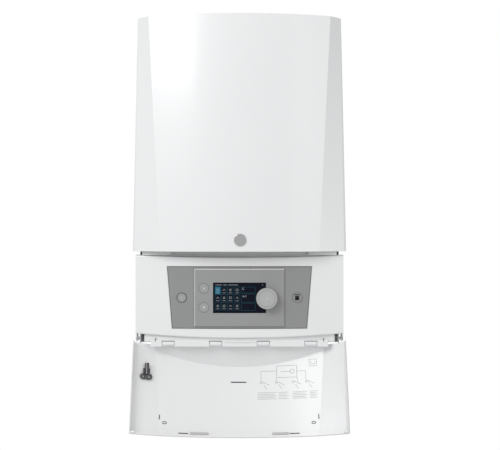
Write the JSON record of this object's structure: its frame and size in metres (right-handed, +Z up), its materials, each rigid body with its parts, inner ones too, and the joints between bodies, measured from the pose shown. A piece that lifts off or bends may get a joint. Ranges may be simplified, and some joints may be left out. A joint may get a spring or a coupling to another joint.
{
  "type": "condensing boiler",
  "caption": "Wall-hung condensing boiler with a bowed white casing, a tilting control panel with screen and knob, and a drop-down flap shown open.",
  "frame": {"origin": "wall plane, centre of the width, 196 mm below the foot of the front casing", "axes": "+X to the viewer's right, +Y into the wall, +Z up; the front faces -Y"},
  "size_m": [0.45, 0.4846, 0.9293],
  "materials": {
    "alloy": "matte",
    "black_glass": "glossy",
    "board_green": "satin",
    "brass": "satin",
    "burner_steel": "matte",
    "cast_grey": "matte",
    "ceramic": "matte",
    "chrome": "glossy",
    "copper_pipe": "satin",
    "dark_plastic": "matte",
    "grey_plastic": "matte",
    "hose_grey": "matte",
    "knob_grey": "satin",
    "red_plastic": "matte",
    "seal_rubber": "matte",
    "stainless": "satin",
    "vessel_red": "gloss",
    "white_casing": "satin",
    "white_plastic": "satin",
    "zinc_steel": "satin"
  },
  "bodies": {
    "frame": {"air_silencer": "dark_plastic", "back_panel": "zinc_steel", "bottom_tray": "zinc_steel", "burner": "burner_steel", "burner_door": "alloy", "casing_seal": "seal_rubber", "combustion_gasket": "seal_rubber", "condensate_hose": "hose_grey", "diverter_motor": "dark_plastic", "expansion_vessel": "vessel_red", "fan_housing": "alloy", "fan_motor": "alloy", "flow_pipe": "copper_pipe", "flue_collar": "white_casing", "flue_pipe": "stainless", "gas_pipe": "brass", "gas_valve": "alloy", "heat_exchanger": "stainless", "hydraulic_block": "brass", "ignition_electrode": "ceramic", "pipe_stubs_15": "brass", "pipe_stubs_22": "brass", "pivot_brackets": "zinc_steel", "plate_heat_exchanger": "stainless", "pump_body": "cast_grey", "pump_motor": "alloy", "return_pipe": "copper_pipe", "safety_valve": "brass", "sampling_caps": "dark_plastic", "side_panel_left": "white_casing", "side_panel_right": "white_casing", "sight_glass": "black_glass", "siphon_body": "dark_plastic", "spark_generator": "dark_plastic", "top_panel": "zinc_steel", "venturi": "alloy", "wall_bracket": "zinc_steel"},
    "front_cover": {"front_casing": "white_casing", "badge": "chrome"},
    "panel": {"control_housing": "white_plastic", "housing_cover": "dark_plastic", "control_board": "board_green", "fascia": "grey_plastic", "display_module": "grey_plastic", "display_screen": "black_glass", "encoder": "dark_plastic", "power_collar": "grey_plastic", "service_socket": "grey_plastic", "hinge_rod": "zinc_steel"},
    "flap": {"flap_shell": "white_plastic", "key_clip": "dark_plastic"},
    "key": {"bleed_key": "chrome"},
    "knob": {"rotary_knob": "knob_grey"},
    "key_up": {"upper_key": "knob_grey"},
    "key_down": {"lower_key": "knob_grey"},
    "power": {"power_button": "knob_grey"},
    "impeller": {"fan_impeller": "alloy"},
    "relief_cap": {"safety_cap": "red_plastic"},
    "cup": {"siphon_cup": "dark_plastic"}
  },
  "joints": [
    {"name": "casing_lift_off", "type": "slide", "parent": "frame", "child": "front_cover", "axis": [0, -1, 0], "range_m": [0, 0.3]},
    {"name": "panel_tilt", "type": "hinge", "parent": "frame", "child": "panel", "pos_m": [0, -0.384, 0.012], "axis": [1, 0, 0], "range_deg": [0, 50]},
    {"name": "flap_hinge", "type": "hinge", "parent": "panel", "child": "flap", "pos_m": [0, -0.398, 0.002], "axis": [-1, 0, 0], "range_deg": [0, 160]},
    {"name": "bleed_key_pull", "type": "slide", "parent": "flap", "child": "key", "axis": [0.4918, -0.8182, 0.2978], "range_m": [0, 0.04]},
    {"name": "knob_turn", "type": "hinge", "parent": "panel", "child": "knob", "pos_m": [0.057, -0.42, 0.098], "axis": [0, -1, 0], "continuous": true},
    {"name": "upper_key_press", "type": "slide", "parent": "panel", "child": "key_up", "axis": [0, 1, 0], "range_m": [0, 0.0008], "stiffness_N_per_m": 800, "springref_m": -0.0008},
    {"name": "lower_key_press", "type": "slide", "parent": "panel", "child": "key_down", "axis": [0, 1, 0], "range_m": [0, 0.0008], "stiffness_N_per_m": 800, "springref_m": -0.0008},
    {"name": "power_button_press", "type": "slide", "parent": "panel", "child": "power", "axis": [0, 1, 0], "range_m": [0, 0.001], "stiffness_N_per_m": 800, "springref_m": -0.0008},
    {"name": "fan_spin", "type": "hinge", "parent": "frame", "child": "impeller", "pos_m": [0.108, -0.235, 0.42], "axis": [0, 0, 1], "continuous": true},
    {"name": "relief_cap_turn", "type": "hinge", "parent": "frame", "child": "relief_cap", "pos_m": [0.06, -0.24, 0.062], "axis": [0, -1, 0], "range_deg": [0, 90]},
    {"name": "siphon_cup_drop", "type": "slide", "parent": "frame", "child": "cup", "axis": [0, 0, -1], "range_m": [0, 0.06]}
  ]
}
